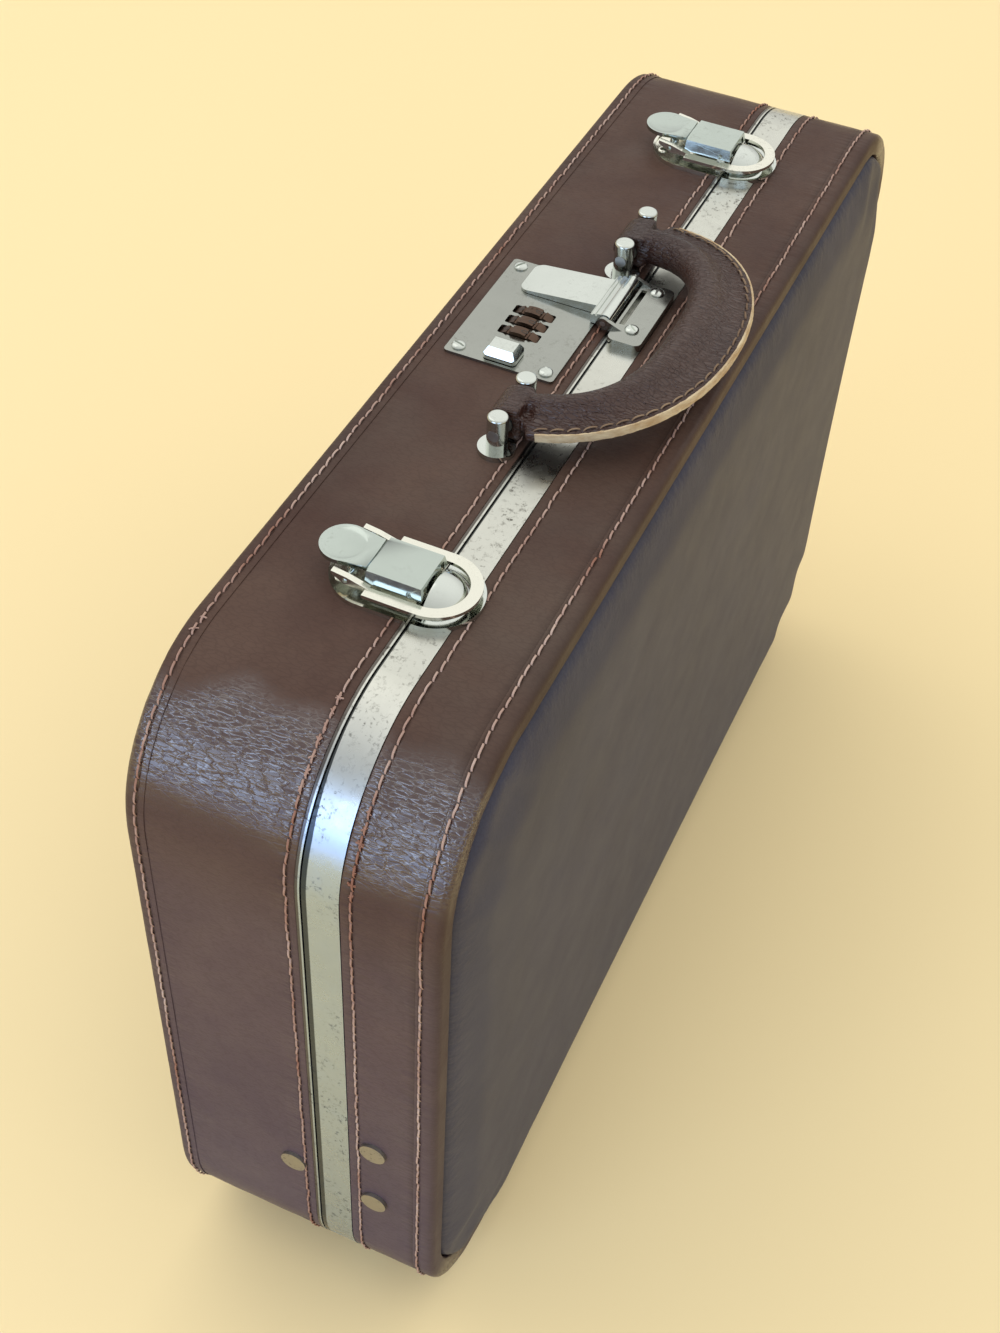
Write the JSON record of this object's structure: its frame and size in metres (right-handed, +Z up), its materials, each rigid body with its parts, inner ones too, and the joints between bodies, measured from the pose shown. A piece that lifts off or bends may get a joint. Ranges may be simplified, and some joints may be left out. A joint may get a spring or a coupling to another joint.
{
  "type": "briefcase",
  "caption": "Hard leather briefcase with a metal-framed lid, draw latches, a number lock with hasp and slide, a stiff D handle and folding inner stays.",
  "frame": {"origin": "on the ground under the middle of the case's length and depth, level with the undersides of the studs", "axes": "+X along the case to the right as seen from the lid, +Y from the lid through the body to its back, +Z up towards the handle"},
  "size_m": [0.4326, 0.108, 0.3143],
  "materials": {
    "side_leather": "satin, grained, dark reddish brown",
    "face_leather": "satin, smooth, worn brown",
    "handle_leather": "satin, padded, with a stitched edge",
    "board": "plain bent board",
    "lining": "plain woven cloth",
    "nickel": "aged nickel plate",
    "steel": "plain steel",
    "lock_case_steel": "dark",
    "wheel_brass": "browned brass"
  },
  "bodies": {
    "case": {"body_wall": "board", "body_back_board": "board", "body_side_leather": "side_leather", "body_back_leather": "face_leather", "body_rim": "side_leather", "body_frame": "nickel", "body_lining": "lining", "body_studs": "nickel", "hinge_body_leaves": "nickel", "hinge_pins": "steel", "latch_base_left": "nickel", "latch_base_right": "nickel", "lock_plate": "nickel", "lock_screws": "nickel", "lock_case": "lock_case_steel", "dial_axle": "steel", "handle_posts": "nickel", "handle_pins": "steel", "stay_body_rivets": "nickel"},
    "lid": {"lid_wall": "board", "lid_face_board": "board", "lid_side_leather": "side_leather", "lid_face_leather": "face_leather", "lid_rim": "side_leather", "lid_frame": "nickel", "lid_lining": "lining", "lid_studs": "nickel", "hinge_lid_leaves": "nickel", "latch_catch_left": "nickel", "latch_catch_right": "nickel", "keeper_plate": "nickel", "keeper_screws": "nickel", "hasp_pin": "steel", "stay_lid_brackets": "nickel"},
    "hasp": {"hasp": "nickel"},
    "handle": {"handle_grip": "handle_leather", "handle_ends": "handle_leather", "handle_bushes": "steel"},
    "lever_left": {"lever_left": "nickel"},
    "lever_right": {"lever_right": "nickel"},
    "pull_loop_left": {"pull_loop_left": "nickel"},
    "pull_loop_right": {"pull_loop_right": "nickel"},
    "dial_1": {"dial_1": "wheel_brass"},
    "dial_2": {"dial_2": "wheel_brass"},
    "dial_3": {"dial_3": "wheel_brass"},
    "slide": {"lock_slide": "nickel", "lock_bolt": "steel"},
    "stay_body_link_left": {"stay_body_link_left": "steel"},
    "stay_body_link_right": {"stay_body_link_right": "steel"},
    "stay_lid_link_left": {"stay_lid_link_left": "steel"},
    "stay_lid_link_right": {"stay_lid_link_right": "steel"}
  },
  "joints": [
    {"name": "lid_turn", "type": "hinge", "parent": "case", "child": "lid", "pos_m": [0, -0.0045, 0.0027], "axis": [1, 0, 0], "range_deg": [0, 100]},
    {"name": "hasp_turn", "type": "hinge", "parent": "lid", "child": "hasp", "pos_m": [0.023, -0.0013, 0.2986], "axis": [1, 0, 0], "range_deg": [0, 100]},
    {"name": "handle_turn", "type": "hinge", "parent": "case", "child": "handle", "pos_m": [0, 0.005, 0.303], "axis": [-1, 0, 0], "range_deg": [0, 160]},
    {"name": "lever_left_turn", "type": "hinge", "parent": "case", "child": "lever_left", "pos_m": [-0.1325, -0.0019, 0.301], "axis": [1, 0, 0], "range_deg": [0, 90]},
    {"name": "pull_loop_left_turn", "type": "hinge", "parent": "lever_left", "child": "pull_loop_left", "pos_m": [-0.1325, 0.0175, 0.3005], "axis": [1, 0, 0], "range_deg": [-90, 0]},
    {"name": "stay_body_left_turn", "type": "hinge", "parent": "case", "child": "stay_body_link_left", "pos_m": [-0.20675, 0.0049, 0.087], "axis": [1, 0, 0], "range_deg": [0, 107]},
    {"name": "stay_lid_left_turn", "type": "hinge", "parent": "lid", "child": "stay_lid_link_left", "pos_m": [-0.20425, -0.0263, 0.1], "axis": [1, 0, 0], "range_deg": [-89, 0]},
    {"name": "lever_right_turn", "type": "hinge", "parent": "case", "child": "lever_right", "pos_m": [0.1325, -0.0019, 0.301], "axis": [1, 0, 0], "range_deg": [0, 90]},
    {"name": "pull_loop_right_turn", "type": "hinge", "parent": "lever_right", "child": "pull_loop_right", "pos_m": [0.1325, 0.0175, 0.3005], "axis": [1, 0, 0], "range_deg": [-90, 0]},
    {"name": "stay_body_right_turn", "type": "hinge", "parent": "case", "child": "stay_body_link_right", "pos_m": [0.20675, 0.0049, 0.087], "axis": [1, 0, 0], "range_deg": [0, 107]},
    {"name": "stay_lid_right_turn", "type": "hinge", "parent": "lid", "child": "stay_lid_link_right", "pos_m": [0.20425, -0.0263, 0.1], "axis": [1, 0, 0], "range_deg": [-89, 0]},
    {"name": "dial_1_turn", "type": "hinge", "parent": "case", "child": "dial_1", "pos_m": [0.0061, 0.023, 0.2866], "axis": [1, 0, 0], "continuous": true},
    {"name": "dial_2_turn", "type": "hinge", "parent": "case", "child": "dial_2", "pos_m": [-0.0002, 0.023, 0.2866], "axis": [1, 0, 0], "continuous": true},
    {"name": "dial_3_turn", "type": "hinge", "parent": "case", "child": "dial_3", "pos_m": [-0.0065, 0.023, 0.2866], "axis": [1, 0, 0], "continuous": true},
    {"name": "slide_move", "type": "slide", "parent": "case", "child": "slide", "axis": [-1, 0, 0], "range_m": [0, 0.003], "stiffness_N_per_m": 150, "springref_m": -0.002}
  ],
  "couplings": [
    {"joint": "pull_loop_left_turn", "follows": "lever_left_turn", "ratio": -1},
    {"joint": "stay_body_left_turn", "follows": "lid_turn", "ratio": 1.067},
    {"joint": "stay_lid_left_turn", "follows": "lid_turn", "ratio": -0.881},
    {"joint": "pull_loop_right_turn", "follows": "lever_right_turn", "ratio": -1},
    {"joint": "stay_body_right_turn", "follows": "lid_turn", "ratio": 1.067},
    {"joint": "stay_lid_right_turn", "follows": "lid_turn", "ratio": -0.881}
  ]
}
